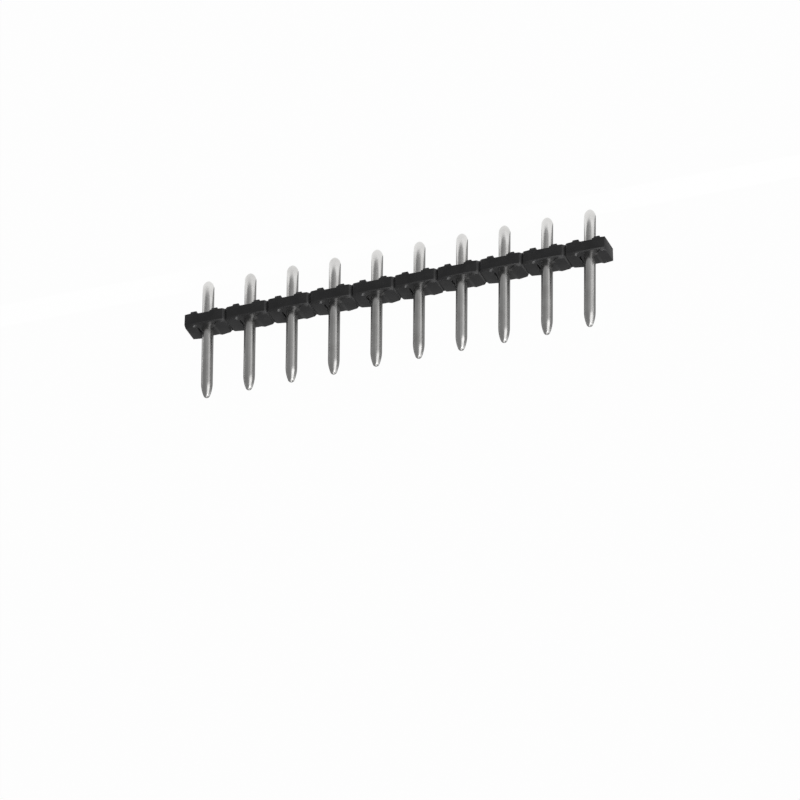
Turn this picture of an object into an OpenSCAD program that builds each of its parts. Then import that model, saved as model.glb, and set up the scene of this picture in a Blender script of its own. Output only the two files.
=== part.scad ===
// Single-row round-pin header for a pluggable terminal block on a circuit board.
// One moulded strip, made of equal cells that can be snapped apart, carries one straight
// round pin in each cell. Millimetres. The feet stand on the board at z = 0, the solder
// tails point down and the contact pins up. X runs along the row from the first pin's axis.

/* [Row] */
// Number of positions in the row
positions = 10; // [2:1:14]
// Distance from pin to pin
pitch = 5; // [4.6:0.1:7.6]

/* [Strip] */
// Depth of a cell at its middle
strip_depth = 3.1; // [2.9:0.1:4]
// Thickness of the strip above its feet
strip_thickness = 1.58; // [1.3:0.02:3]
// Length of the full-depth stretch in the middle of each cell
full_depth_l = 2.4; // [1.8:0.1:3]
// How far the front long side draws in from there to the break line
front_waist = 0.1; // [0:0.02:0.4]
// How far the back long side draws in from there to the break line
back_waist = 0.22; // [0:0.02:0.4]
// Width of the bevel along the front edge of the contact side
bevel_w = 0.4; // [0.2:0.05:0.5]
// Height of that bevel
bevel_h = 0.22; // [0.1:0.02:0.4]
// Material missing at each end of the row, short of half a pitch
end_trim = 0.25; // [0:0.01:0.3]

/* [Break grooves] */
// Width of the V groove in both long sides at each break line
side_groove_w = 0.56; // [0.2:0.02:0.8]
// Width of the V groove across the contact side at each break line
face_groove_w = 0.36; // [0.1:0.02:0.6]

/* [Pin valley] */
// Depth of the valley that crosses the contact side of each cell at its pin
valley_depth = 0.13; // [0.1:0.01:0.3]
// Width of the valley's floor
valley_floor_w = 1.6; // [1.4:0.05:2]
// How much wider the valley is at the top, on each side
valley_slope_w = 0.34; // [0.1:0.02:0.5]
// Distance from the pin's axis back to the upright cut at the front of the valley
cut_start = 0.65; // [0.5:0.05:0.9]
// Angle of that cut from the depth of the strip
cut_angle = 52; // [30:1:60]

/* [Solder side] */
// Depth of the relief between the feet of a cell
relief_depth = 0.16; // [0.05:0.01:0.3]
// Length of that relief along the row
relief_l = 1.5; // [1:0.05:1.6]

/* [Stand-off feet] */
// Height of the feet
foot_h = 0.32; // [0.26:0.02:0.6]
// Length of a foot along the row where it stands on the board
foot_l = 0.68; // [0.3:0.02:0.8]
// How much longer a foot is at its root, on each side
foot_draft = 0.1; // [0:0.02:0.14]
// Depth of a foot across the strip
foot_depth = 0.65; // [0.3:0.05:0.8]
// How far the feet stand in from the long sides of the strip
foot_inset = 0.25; // [0.1:0.05:0.4]
// Distance from the pin's axis to the middle of a foot, along the row
foot_offset = 1.23; // [1.2:0.01:1.6]

/* [Pins] */
// Diameter of a pin
pin_d = 1.3; // [0.8:0.05:1.3]
// Length of a contact pin above the strip
contact_l = 8.75; // [5:0.05:14]
// Length of a solder tail below the board side of the feet
tail_l = 4.35; // [2.5:0.05:6]
// Length of the bullet nose at the contact end
nose_l = 1.9; // [1.2:0.1:2.4]
// Radius at the very tip of the nose
nose_tip_r = 0.38; // [0.2:0.02:0.38]
// Length of the rounded end of the solder tail
tail_end_l = 0.9; // [0.7:0.05:1.4]
// Radius at the very tip of the solder tail
tail_tip_r = 0.38; // [0.2:0.02:0.38]

/* [Press fit] */
// Diameter of the collar that is pressed into the strip
collar_d = 1.64; // [1.64:0.02:1.66]
// How far the collar stands out of the board side of the strip
collar_below = 0.2; // [0.1:0.02:0.24]
// Thickness of the plastic over the collar at the floor of the valley
collar_cover = 0.05; // [0.04:0.01:0.1]
// Gap between a pin and its bore, all round and above the collar
bore_clearance = 0.01; // [0:0.005:0.02]

/* [Hidden] */
$fn = 96;

plastic = [0.13, 0.13, 0.135];
tin = [0.78, 0.78, 0.76];

half_pitch = pitch / 2;
half_depth = strip_depth / 2;
front_break = half_depth - front_waist;
back_break = half_depth - back_waist;
row_start = end_trim - half_pitch;
row_end = (positions - 0.5) * pitch - end_trim;
strip_top = foot_h + strip_thickness;
valley_floor = strip_top - valley_depth;
collar_bottom = foot_h - collar_below;
bore_top = valley_floor - collar_cover;
collar_top = bore_top - bore_clearance;
lap = 0.1;
spare = 1;

function pin_x(i) = (i - 1) * pitch;

// The outline of one cell seen along a pin: full depth in the middle, drawn in at the breaks,
// and a lap beyond each break that joins it to the next cell
function cell_outline() = [
    [-half_pitch - lap, -front_break], [-half_pitch, -front_break],
    [-full_depth_l / 2, -half_depth], [full_depth_l / 2, -half_depth],
    [half_pitch, -front_break], [half_pitch + lap, -front_break],
    [half_pitch + lap, back_break], [half_pitch, back_break],
    [full_depth_l / 2, half_depth], [-full_depth_l / 2, half_depth],
    [-half_pitch, back_break], [-half_pitch - lap, back_break]
];

// A square bar whose edge cuts a V groove of the given width, along X, with the edge at z = -w/2
module v_bar(length, w) {
    side = w * sqrt(2) / 2;
    rotate([45, 0, 0])
        translate([-length / 2, -side / 2, -side / 2])
            cube([length, side, side]);
}

// The bevel on the front top edge that runs from one outline point to the next
module edge_cut(start, end) {
    run = end - start;
    reach = norm(run) / 2 + spare;
    translate([(start.x + end.x) / 2, (start.y + end.y) / 2, strip_top])
        rotate([90, 0, 90 + atan2(run.y, run.x)])
            linear_extrude(2 * reach, center = true)
                polygon([
                    [bevel_w, 0], [bevel_w, spare], [-spare, spare],
                    [-spare, -bevel_h * (1 + spare / bevel_w)]
                ]);
}

// The valley across the contact side, and the upright cut that opens its front on one side
module valley() {
    half_floor = valley_floor_w / 2;
    rise = 1 + spare / valley_depth;
    reach = half_depth + spare;
    rotate([90, 0, 0])
        linear_extrude(2 * reach, center = true)
            polygon([
                [-half_floor, valley_floor], [half_floor, valley_floor],
                [half_floor + rise * valley_slope_w, strip_top + spare],
                [-half_floor - rise * valley_slope_w, strip_top + spare]
            ]);
    translate([0, 0, valley_floor])
        linear_extrude(valley_depth + spare)
            polygon([
                [0, -cut_start], [-half_floor, -cut_start],
                [-half_floor - (reach - cut_start) * tan(cut_angle), -reach], [0, -reach]
            ]);
}

// The grooves at one break line: down both long sides and across the contact side
module break_groove() {
    for (y = [-front_break, back_break])
        translate([0, y, 0])
            rotate([0, 90, 0])
                v_bar(2 * (strip_top + spare), side_groove_w);
    translate([0, 0, strip_top])
        rotate([0, 0, 90])
            v_bar(strip_depth + 2 * spare, face_groove_w);
}

// One stand-off foot, drafted along the row
module foot() {
    rotate([90, 0, 0])
        linear_extrude(foot_depth, center = true)
            polygon([
                [-foot_l / 2, 0], [foot_l / 2, 0],
                [foot_l / 2 + foot_draft, foot_h], [-foot_l / 2 - foot_draft, foot_h]
            ]);
}

module cell_body() {
    outline = cell_outline();
    difference() {
        translate([0, 0, foot_h])
            linear_extrude(strip_thickness)
                polygon(outline);
        for (i = [1:3])
            edge_cut(outline[i], outline[i + 1]);
        valley();
        translate([0, 0, foot_h])
            cube([relief_l, strip_depth + spare, 2 * relief_depth], center = true);
    }
    for (x = [-1, 1], y = [-1, 1])
        translate([x * foot_offset, y * (half_depth - foot_inset - foot_depth / 2), 0])
            foot();
}

module strip() {
    color(plastic)
        difference() {
            for (i = [1:positions])
                translate([pin_x(i), 0, 0])
                    cell_body();
            for (i = [1:positions])
                translate([pin_x(i), 0, 0]) {
                    cylinder(d = collar_d + 2 * bore_clearance, h = bore_top);
                    cylinder(d = pin_d + 2 * bore_clearance, h = strip_top + spare);
                }
            for (i = [0:positions])
                translate([pin_x(i) + half_pitch, 0, 0])
                    break_groove();
            for (x = [row_start - spare, row_end + spare])
                translate([x, 0, 0])
                    cube([2 * spare, strip_depth + 2 * spare, 3 * strip_top], center = true);
        }
}

// Half the section of a rounded end: it leaves the pin's side smoothly at z = 0, follows a
// large arc and closes with an arc of the tip radius at z = length
module end_profile(length, tip_r) {
    r = pin_d / 2;
    rise = length - tip_r;
    arc_r = (rise * rise / (r - tip_r) + r + tip_r) / 2;
    meet = rise * arc_r / (arc_r - tip_r);
    intersection() {
        translate([r - arc_r, 0])
            circle(arc_r);
        square([r, meet]);
    }
    intersection() {
        translate([0, rise])
            circle(tip_r);
        translate([0, meet])
            square([r, length - meet]);
    }
}

// One pin: tail end at the bottom, the collar inside the strip, bullet nose at the top
module pin(i) {
    shaft_bottom = -tail_l + tail_end_l;
    shaft_top = strip_top + contact_l - nose_l;
    color(tin)
        translate([pin_x(i), 0, 0])
            rotate_extrude() {
                translate([0, shaft_bottom])
                    square([pin_d / 2, shaft_top - shaft_bottom]);
                translate([0, collar_bottom])
                    square([collar_d / 2, collar_top - collar_bottom]);
                translate([0, shaft_top])
                    end_profile(nose_l, nose_tip_r);
                translate([0, shaft_bottom])
                    mirror([0, 1])
                        end_profile(tail_end_l, tail_tip_r);
            }
}

strip();
for (i = [1:positions])
    pin(i);
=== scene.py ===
import math

import bmesh
import bpy
from mathutils import Matrix, Vector


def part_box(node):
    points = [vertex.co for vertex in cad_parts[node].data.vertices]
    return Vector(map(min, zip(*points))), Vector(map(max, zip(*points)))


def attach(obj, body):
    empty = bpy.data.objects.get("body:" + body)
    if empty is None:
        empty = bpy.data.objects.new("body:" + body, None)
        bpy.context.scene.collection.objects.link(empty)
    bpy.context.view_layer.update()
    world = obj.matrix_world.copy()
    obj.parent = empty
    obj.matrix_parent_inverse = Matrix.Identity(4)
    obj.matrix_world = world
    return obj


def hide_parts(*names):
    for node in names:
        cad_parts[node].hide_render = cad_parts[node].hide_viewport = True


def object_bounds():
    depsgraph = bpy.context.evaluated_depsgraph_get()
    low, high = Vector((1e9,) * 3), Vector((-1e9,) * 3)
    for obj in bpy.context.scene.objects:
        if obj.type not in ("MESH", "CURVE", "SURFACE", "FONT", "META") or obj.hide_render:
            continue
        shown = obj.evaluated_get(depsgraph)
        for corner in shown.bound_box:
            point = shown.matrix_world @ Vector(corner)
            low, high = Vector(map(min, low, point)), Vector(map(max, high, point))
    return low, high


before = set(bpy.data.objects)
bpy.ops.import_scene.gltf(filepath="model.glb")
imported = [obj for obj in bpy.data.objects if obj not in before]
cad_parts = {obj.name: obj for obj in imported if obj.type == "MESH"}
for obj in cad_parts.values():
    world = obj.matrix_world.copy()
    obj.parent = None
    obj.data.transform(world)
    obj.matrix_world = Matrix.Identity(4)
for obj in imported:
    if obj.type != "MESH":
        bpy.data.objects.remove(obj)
cad_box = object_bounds()


# The strip: one black moulding that carries all the pins. Its cells are joined by thin
# webs between V grooves, so that it can be snapped to length. The mould leaves every edge
# slightly round and every face with a fine spark-eroded satin.
MM = 0.001
PITCH = 5 * MM
BORE_ROOM = 0.84 * MM
STRIP_EDGE_R = 0.04 * MM
STRIP_EDGE_STEPS = 3
STRIP_SHARP = math.radians(20)
STRIP_CREASE = math.radians(32)
# Points nearer than these are merged: doubles of one corner, slivers between facets, and the
# crumbs that the rounding leaves. Faces that turn by less than FLAT become one face.
WELD = 0.001 * MM
SLIVER = 0.065 * MM
CRUMB = 0.002 * MM
FLAT = math.radians(1)
# The ways that two kinds of face look: the valley's slope that faces the first pin's end,
# called the near slope, and the bevel along the front edge.
NEAR_SLOPE = (-0.13, 0, 0.34)
FRONT_BEVEL = (0, -0.22, 0.4)
SAME_WAY = math.cos(math.radians(3))
CORNER_CHAMFER = 0.2 * MM
# The pocket in each near slope: how far it reaches before and behind the pin's axis, how high
# up the slope it starts, and how deep it is.
POCKET_REACH = (-0.6 * MM, 0.75 * MM)
POCKET_TOP = 1.88 * MM
POCKET_DEPTH = 0.45 * MM
# The bottom line of each back groove: its place, how near to it a corner counts as on it,
# the shortest line that counts, and how far the rounding reaches up the groove's walls.
BACK_GROOVE_Y = 1.05 * MM
BACK_GROOVE_NEAR = 0.01 * MM
BACK_GROOVE_SHORTEST = 1 * MM
BACK_GROOVE_SOFT = 0.24 * MM
STRIP_BLACK = (0.0105, 0.0105, 0.011)
STRIP_WORN = (0.018, 0.018, 0.0185)
STRIP_WEAR = 0.5
STRIP_ROUGH = 0.2
STRIP_CLOUDS = 700
STRIP_CLOUDS_ROUGH = 0.06
STRIP_GRAIN = 9000
STRIP_GRAIN_ROUGH = 0.06
STRIP_GRAIN_DEPTH = 0.004 * MM
STRIP_GRAIN_RELIEF = 0.6
GRAIN_DETAIL = 3.0
CLOUD_EDGES = (0.35, 0.7)


class Field:
    """A shader value that can be used in Python expressions."""

    def __init__(self, finish, socket):
        self.finish = finish
        self.socket = socket

    def maths(self, operation, other):
        return self.finish.node("ShaderNodeMath", {"operation": operation}, [self, other])

    def __add__(self, other):
        return self.maths("ADD", other)

    def __mul__(self, other):
        return self.maths("MULTIPLY", other)

    __radd__ = __add__
    __rmul__ = __mul__


class Finish:
    """The nodes of a material or a world, with the shader that they start with."""

    def __init__(self, owner, shader="Principled BSDF"):
        owner.use_nodes = True
        self.owner = owner
        self.tree = owner.node_tree
        self.shader = self.tree.nodes[shader]

    def node(self, kind, settings, inputs, output=0):
        made = self.tree.nodes.new(kind)
        for key, value in settings.items():
            setattr(made, key, value)
        named = inputs.items() if isinstance(inputs, dict) else enumerate(inputs)
        for key, value in named:
            self.feed(made.inputs[key], value)
        return Field(self, made.outputs[output])

    def feed(self, socket, value):
        if isinstance(value, Field):
            self.tree.links.new(value.socket, socket)
        else:
            socket.default_value = value

    def place(self):
        return self.node("ShaderNodeTexCoord", {}, [], "Object")

    def stretched(self, scale):
        return self.node("ShaderNodeMapping", {}, {"Vector": self.place(), "Scale": scale})

    def noise(self, place, scale, detail=2.0):
        inputs = {"Vector": place, "Scale": scale, "Detail": detail}
        return self.node("ShaderNodeTexNoise", {}, inputs)

    def clouds(self, scale):
        """Soft-edged patches, 1 inside and 0 outside."""
        settings = {"interpolation_type": "SMOOTHSTEP"}
        patches = self.noise(self.place(), scale)
        return self.node("ShaderNodeMapRange", settings, [patches, *CLOUD_EDGES, 0.0, 1.0])

    def blend(self, share, first, second):
        inputs = {0: share, 6: (*first, 1), 7: (*second, 1)}
        return self.node("ShaderNodeMix", {"data_type": "RGBA"}, inputs, 2)

    def relief(self, height, distance, strength):
        inputs = {"Height": height, "Distance": distance, "Strength": strength}
        return self.node("ShaderNodeBump", {}, inputs)

    def set(self, **values):
        for key, value in values.items():
            self.feed(self.shader.inputs[key.replace("_", " ")], value)
        return self.owner


def clear_of_bores(vert):
    along = (vert.co.x + PITCH / 2) % PITCH - PITCH / 2
    return math.hypot(along, vert.co.y) > BORE_ROOM


def facing(normal, aim):
    return normal.dot(Vector(aim).normalized()) > SAME_WAY


def soften(shape, edges, offset, steps):
    """Rounds edges, or cuts a flat chamfer where there is only one step."""
    bmesh.ops.bevel(shape, geom=edges, offset=offset, offset_type="OFFSET", affect="EDGES",
                    segments=steps, profile=0.5, material=-1, clamp_overlap=False)


def soften_back_grooves(shape):
    """Rounds the bottom of the V grooves in the back long side, which the mould leaves shallow."""
    bottoms = [e for e in shape.edges if len(e.link_faces) == 2
               and all(abs(v.co.y - BACK_GROOVE_Y) < BACK_GROOVE_NEAR for v in e.verts)
               and abs(e.verts[0].co.z - e.verts[1].co.z) > BACK_GROOVE_SHORTEST]
    soften(shape, bottoms, BACK_GROOVE_SOFT, STRIP_EDGE_STEPS)


def trim_valley_corners(shape):
    """Chamfers the edge where the near slope of each pin valley runs out into the front bevel."""
    corners = [e for e in shape.edges if len(e.link_faces) == 2
               and any(facing(f.normal, NEAR_SLOPE) for f in e.link_faces)
               and any(facing(f.normal, FRONT_BEVEL) for f in e.link_faces)]
    soften(shape, corners, CORNER_CHAMFER, 1)


def round_outer_edges(shape):
    """Rounds the sharp edges, apart from those at the bores, which keep the pins' fit."""
    edges = [e for e in shape.edges if len(e.link_faces) == 2 and e.calc_face_angle() > STRIP_SHARP
             and all(clear_of_bores(v) for v in e.verts)]
    soften(shape, edges, STRIP_EDGE_R, STRIP_EDGE_STEPS)
    bmesh.ops.dissolve_degenerate(shape, edges=shape.edges, dist=CRUMB)


def split_near_slopes(shape, point, normal):
    slopes = [f for f in shape.faces if facing(f.normal, NEAR_SLOPE)]
    edges = list({e for f in slopes for e in f.edges})
    verts = list({v for f in slopes for v in f.verts})
    bmesh.ops.bisect_plane(shape, geom=slopes + edges + verts, plane_co=point, plane_no=normal)


def sink_pin_pockets(shape):
    """Sinks the part of each near slope that lies beside the pin, as one small pocket."""
    for reach in POCKET_REACH:
        split_near_slopes(shape, (0, reach, 0), (0, 1, 0))
    split_near_slopes(shape, (0, 0, POCKET_TOP), (0, 0, 1))
    beside = [f for f in shape.faces if facing(f.normal, NEAR_SLOPE)
              and POCKET_REACH[0] < f.calc_center_median().y < POCKET_REACH[1]
              and f.calc_center_median().z < POCKET_TOP]
    sunk = bmesh.ops.extrude_face_region(shape, geom=beside)["geom"]
    bmesh.ops.delete(shape, geom=beside, context="FACES")
    floor = [v for v in sunk if isinstance(v, bmesh.types.BMVert)]
    bmesh.ops.translate(shape, verts=floor, vec=(0, 0, -POCKET_DEPTH))


def as_object(shape, name):
    mesh = bpy.data.meshes.new(name)
    shape.to_mesh(mesh)
    shape.free()
    made = bpy.data.objects.new(name, mesh)
    bpy.context.scene.collection.objects.link(made)
    return made


def smooth_object(shape, name, crease):
    """An object shaded smooth, apart from the edges that turn by more than the crease angle."""
    made = as_object(shape, name)
    made.data.shade_smooth()
    made.data.set_sharp_from_angle(angle=crease)
    return made


def moulded_copy(node, name):
    """A copy of a CAD node as one clean surface, finished as the mould leaves it."""
    shape = bmesh.new()
    shape.from_mesh(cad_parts[node].data)
    bmesh.ops.remove_doubles(shape, verts=shape.verts, dist=WELD)
    open_verts = [v for v in shape.verts if clear_of_bores(v)]
    bmesh.ops.remove_doubles(shape, verts=open_verts, dist=SLIVER)
    bmesh.ops.dissolve_limit(shape, angle_limit=FLAT, verts=shape.verts, edges=shape.edges)
    soften_back_grooves(shape)
    trim_valley_corners(shape)
    round_outer_edges(shape)
    sink_pin_pockets(shape)
    return smooth_object(shape, name, STRIP_CREASE)


def black_plastic():
    finish = Finish(bpy.data.materials.new("black_plastic"))
    clouds = finish.clouds(STRIP_CLOUDS)
    grain = finish.noise(finish.place(), STRIP_GRAIN, GRAIN_DETAIL)
    colour = finish.blend(clouds * STRIP_WEAR, STRIP_BLACK, STRIP_WORN)
    rough = STRIP_ROUGH + clouds * STRIP_CLOUDS_ROUGH + grain * STRIP_GRAIN_ROUGH
    relief = finish.relief(grain, STRIP_GRAIN_DEPTH, STRIP_GRAIN_RELIEF)
    return finish.set(Base_Color=colour, Roughness=rough, Normal=relief)


strip = moulded_copy("strip", "moulded_strip")
strip.data.materials.append(black_plastic())
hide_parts("strip")
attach(strip, "root")


# The pins: lengths of round copper alloy wire with bright tin plating. The long contact end
# has a bullet nose that finds its socket, the short solder tail is only rounded, and a
# slightly thicker collar grips inside the strip.
PIN_R = 0.65 * MM
PIN_NOSE = {"length": 1.9 * MM, "tip_r": 0.38 * MM}
PIN_TAIL_END = {"length": 0.9 * MM, "tip_r": 0.38 * MM}
PIN_SIDES = 96
PIN_ARC_STEPS = 12
PIN_WELD = 0.0005 * MM
PIN_CREASE = math.radians(40)
COLLAR_R = 0.82 * MM
COLLAR_SPAN = (0.12 * MM, 1.71 * MM)
COLLAR_EDGE = 0.03 * MM
TIN = (0.66, 0.655, 0.645)
TIN_DULL = (0.57, 0.565, 0.555)
TIN_ROUGH = 0.2
TIN_CLOUDS = 500
TIN_CLOUDS_ROUGH = 0.06
DRAWN_SCALE = (9000, 9000, 250)
DRAWN_ROUGH = 0.06
DRAWN_DEPTH = 0.002 * MM
DRAWN_RELIEF = 0.5


def arc(start, end):
    """The angles of an arc's points, from just after its start to its end."""
    return [start + (end - start) * i / PIN_ARC_STEPS for i in range(1, PIN_ARC_STEPS + 1)]


def round_end(length, tip_r):
    """(radius, height) pairs from the pin's side to its tip: a long arc, then the tip's own arc."""
    rise = length - tip_r
    arc_r = (rise * rise / (PIN_R - tip_r) + PIN_R + tip_r) / 2
    turn = math.asin(rise / (arc_r - tip_r))
    side = [(PIN_R - arc_r + arc_r * math.cos(a), arc_r * math.sin(a)) for a in arc(0, turn)]
    tip = [(tip_r * math.cos(a), rise + tip_r * math.sin(a)) for a in arc(turn, math.pi / 2)]
    return [(PIN_R, 0)] + side + tip


def drawn_pin(node):
    low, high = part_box(node)
    axis = Vector(((low.x + high.x) / 2, (low.y + high.y) / 2, 0))
    nose = [(r, high.z - PIN_NOSE["length"] + z) for r, z in round_end(**PIN_NOSE)]
    tail = [(r, low.z + PIN_TAIL_END["length"] - z) for r, z in round_end(**PIN_TAIL_END)]
    bottom, top = COLLAR_SPAN
    collar = [(PIN_R, bottom), (COLLAR_R - COLLAR_EDGE, bottom), (COLLAR_R, bottom + COLLAR_EDGE),
              (COLLAR_R, top - COLLAR_EDGE), (COLLAR_R - COLLAR_EDGE, top), (PIN_R, top)]
    shape = bmesh.new()
    points = [shape.verts.new(axis + Vector((max(r, 0), 0, z))) for r, z in tail[::-1] + collar + nose]
    edges = [shape.edges.new(pair) for pair in zip(points, points[1:])]
    bmesh.ops.spin(shape, geom=points + edges, cent=axis, axis=(0, 0, 1), angle=math.tau,
                   steps=PIN_SIDES, use_merge=True)
    bmesh.ops.remove_doubles(shape, verts=shape.verts, dist=PIN_WELD)
    bmesh.ops.recalc_face_normals(shape, faces=shape.faces)
    return smooth_object(shape, "round_" + node, PIN_CREASE)


def tin_plating():
    finish = Finish(bpy.data.materials.new("tin_plating"))
    drawn = finish.noise(finish.stretched(DRAWN_SCALE), 1.0, GRAIN_DETAIL)
    clouds = finish.clouds(TIN_CLOUDS)
    colour = finish.blend(clouds, TIN, TIN_DULL)
    rough = TIN_ROUGH + clouds * TIN_CLOUDS_ROUGH + drawn * DRAWN_ROUGH
    relief = finish.relief(drawn, DRAWN_DEPTH, DRAWN_RELIEF)
    return finish.set(Base_Color=colour, Metallic=1.0, Roughness=rough, Normal=relief)


tin = tin_plating()
for node in sorted(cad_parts):
    if node.startswith("pin_"):
        pin = drawn_pin(node)
        pin.data.materials.append(tin)
        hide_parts(node)
        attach(pin, "root")


# The camera looks down on the contact side from the first pin's end and is turned upside
# down, so that the solder tails point up in the picture.
VIEW_AZIMUTH = math.radians(-20.82)
VIEW_ELEVATION = math.radians(30.84)
VIEW_ROLL = math.radians(180.563)
VIEW_DISTANCE = 1500 * MM
VIEW_WIDTH = 88.3 * MM
VIEW_OFFSET = (0.204 * MM, -13.245 * MM)
VIEW_HEIGHT = 0.05 * MM
VIEW_NEAREST = 10 * MM
VIEW_FURTHEST = 10


def sight(azimuth, elevation):
    """The direction from the row to a point at this azimuth, from the front, and elevation."""
    across = math.cos(elevation)
    return Vector((math.sin(azimuth) * across, -math.cos(azimuth) * across, math.sin(elevation)))


strip_low, strip_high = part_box("strip")
row_middle = Vector(((strip_low.x + strip_high.x) / 2, 0, VIEW_HEIGHT))
back = sight(VIEW_AZIMUTH, VIEW_ELEVATION)
level = sight(VIEW_AZIMUTH + math.pi / 2, 0)
upright = Matrix((level, back.cross(level), back)).transposed()
turned = upright @ Matrix.Rotation(VIEW_ROLL, 3, "Z")
stand = row_middle + turned @ Vector((*VIEW_OFFSET, VIEW_DISTANCE))
camera = bpy.data.objects.new("camera", bpy.data.cameras.new("camera"))
camera.data.lens = camera.data.sensor_width * VIEW_DISTANCE / VIEW_WIDTH
camera.data.clip_start = VIEW_NEAREST
camera.data.clip_end = VIEW_FURTHEST
camera.matrix_world = Matrix.Translation(stand) @ turned.to_4x4()
bpy.context.scene.collection.objects.link(camera)
bpy.context.scene.camera = camera


# The studio: a plain pale floor well below, a narrow white card right under the tails, soft
# lamps, and an even surround. A glow is a brightness, where 1 is white. The eye sees floor
# and surround as white, and the metal and the gloss mirror them as a dimmer room.
FLOOR_DROP = 500 * MM
FLOOR_SIZE = 3
FLOOR_PALE = (0.8, 0.8, 0.8, 1)
CARD_FRONT = -3.1 * MM
CARD_BACK = 1.2 * MM
CARD_LENGTH = 120 * MM
CARD_PALE = (0.85, 0.85, 0.85, 1)
CARD_MIRRORED = 1.1
SHEET_ROUGH = 0.6
SHOWN_SHARE = 0.97
SURROUND_GLOW = 0.6
SURROUND_MIRRORED = 0.28
SEEN_WHITE = 1.0
WHITE = (1, 1, 1, 1)
LAMP_DISTANCE = 450 * MM
# Each lamp's turn in degrees from the camera round towards the first pin's end, its rise in
# degrees above level, its width and height in metres, and its glow.
LAMPS = {
    "key": {"turn": 42, "rise": 18, "width": 0.74, "height": 0.7, "glow": 1.0},
    "core": {"turn": 30, "rise": 30, "width": 0.16, "height": 0.24, "glow": 2.7},
    "side": {"turn": 108, "rise": 15, "width": 0.25, "height": 0.4, "glow": 0.9},
    "ceiling": {"turn": 0, "rise": 68, "width": 0.4, "height": 0.3, "glow": 0.8},
    "low": {"turn": 40, "rise": -27, "width": 0.26, "height": 0.36, "glow": 0.3},
    "wide": {"turn": 12, "rise": -27, "width": 0.56, "height": 0.36, "glow": 0.1},
    "top": {"turn": -111, "rise": 84, "width": 0.14, "height": 0.1, "glow": 2.0},
    "rear": {"turn": 165, "rise": 63, "width": 0.14, "height": 0.14, "glow": 3.5},
}


def ray_kind(finish, kind):
    return finish.node("ShaderNodeLightPath", {}, [], kind)


def studio_paper(name, colour, mirrored):
    """Paper that shows the eye white and reflections an even glow, with a little of its own
    shading, and is a plain surface to all other light."""
    finish = Finish(bpy.data.materials.new(name))
    finish.set(Base_Color=colour, Roughness=SHEET_ROUGH)
    direct = ray_kind(finish, "Is Camera Ray")
    through = ray_kind(finish, "Is Transmission Ray")
    reflected = ray_kind(finish, "Is Glossy Ray").maths("MAXIMUM", through)
    glow = direct * SEEN_WHITE + reflected * mirrored
    plain = finish.node("ShaderNodeEmission", {}, {"Color": WHITE, "Strength": glow})
    share = (direct + reflected) * SHOWN_SHARE
    surface = Field(finish, finish.shader.outputs[0])
    look = finish.node("ShaderNodeMixShader", {}, [share, surface, plain])
    finish.feed(finish.tree.nodes["Material Output"].inputs["Surface"], look)
    return finish.owner


def level_sheet(name, low, high, height, material):
    size = high - low
    middle = (low + high) / 2
    shape = bmesh.new()
    bmesh.ops.create_grid(shape, x_segments=1, y_segments=1, size=0.5)
    bmesh.ops.scale(shape, verts=shape.verts, vec=(*size, 1))
    bmesh.ops.translate(shape, verts=shape.verts, vec=(*middle, height))
    made = as_object(shape, name)
    made.data.materials.append(material)


reach = Vector((FLOOR_SIZE / 2, FLOOR_SIZE / 2))
floor_paper = studio_paper("pale_floor", FLOOR_PALE, SURROUND_MIRRORED)
level_sheet("floor", row_middle.xy - reach, row_middle.xy + reach, -FLOOR_DROP, floor_paper)
card_low = Vector((row_middle.x - CARD_LENGTH / 2, CARD_FRONT))
card_high = Vector((row_middle.x + CARD_LENGTH / 2, CARD_BACK))
card_paper = studio_paper("white_card", CARD_PALE, CARD_MIRRORED)
level_sheet("card", card_low, card_high, cad_box[0][2], card_paper)

for name, lamp in LAMPS.items():
    light = bpy.data.lights.new(name, "AREA")
    light.shape = "RECTANGLE"
    light.size = lamp["width"]
    light.size_y = lamp["height"]
    light.energy = lamp["glow"] * math.pi * lamp["width"] * lamp["height"]
    toward = sight(VIEW_AZIMUTH - math.radians(lamp["turn"]), math.radians(lamp["rise"]))
    aim = toward.to_track_quat("Z", "Y").to_matrix().to_4x4()
    rig = bpy.data.objects.new(name, light)
    rig.matrix_world = Matrix.Translation(row_middle + toward * LAMP_DISTANCE) @ aim
    bpy.context.scene.collection.objects.link(rig)

surround = Finish(bpy.data.worlds.new("surround"), "Background")
glow = SURROUND_GLOW
for kind, shown in (("Is Glossy Ray", SURROUND_MIRRORED), ("Is Camera Ray", SEEN_WHITE)):
    glow = surround.node("ShaderNodeMix", {}, {0: ray_kind(surround, kind), 2: glow, 3: shown})
bpy.context.scene.world = surround.set(Color=WHITE, Strength=glow)
bpy.context.scene.view_settings.view_transform = "Standard"
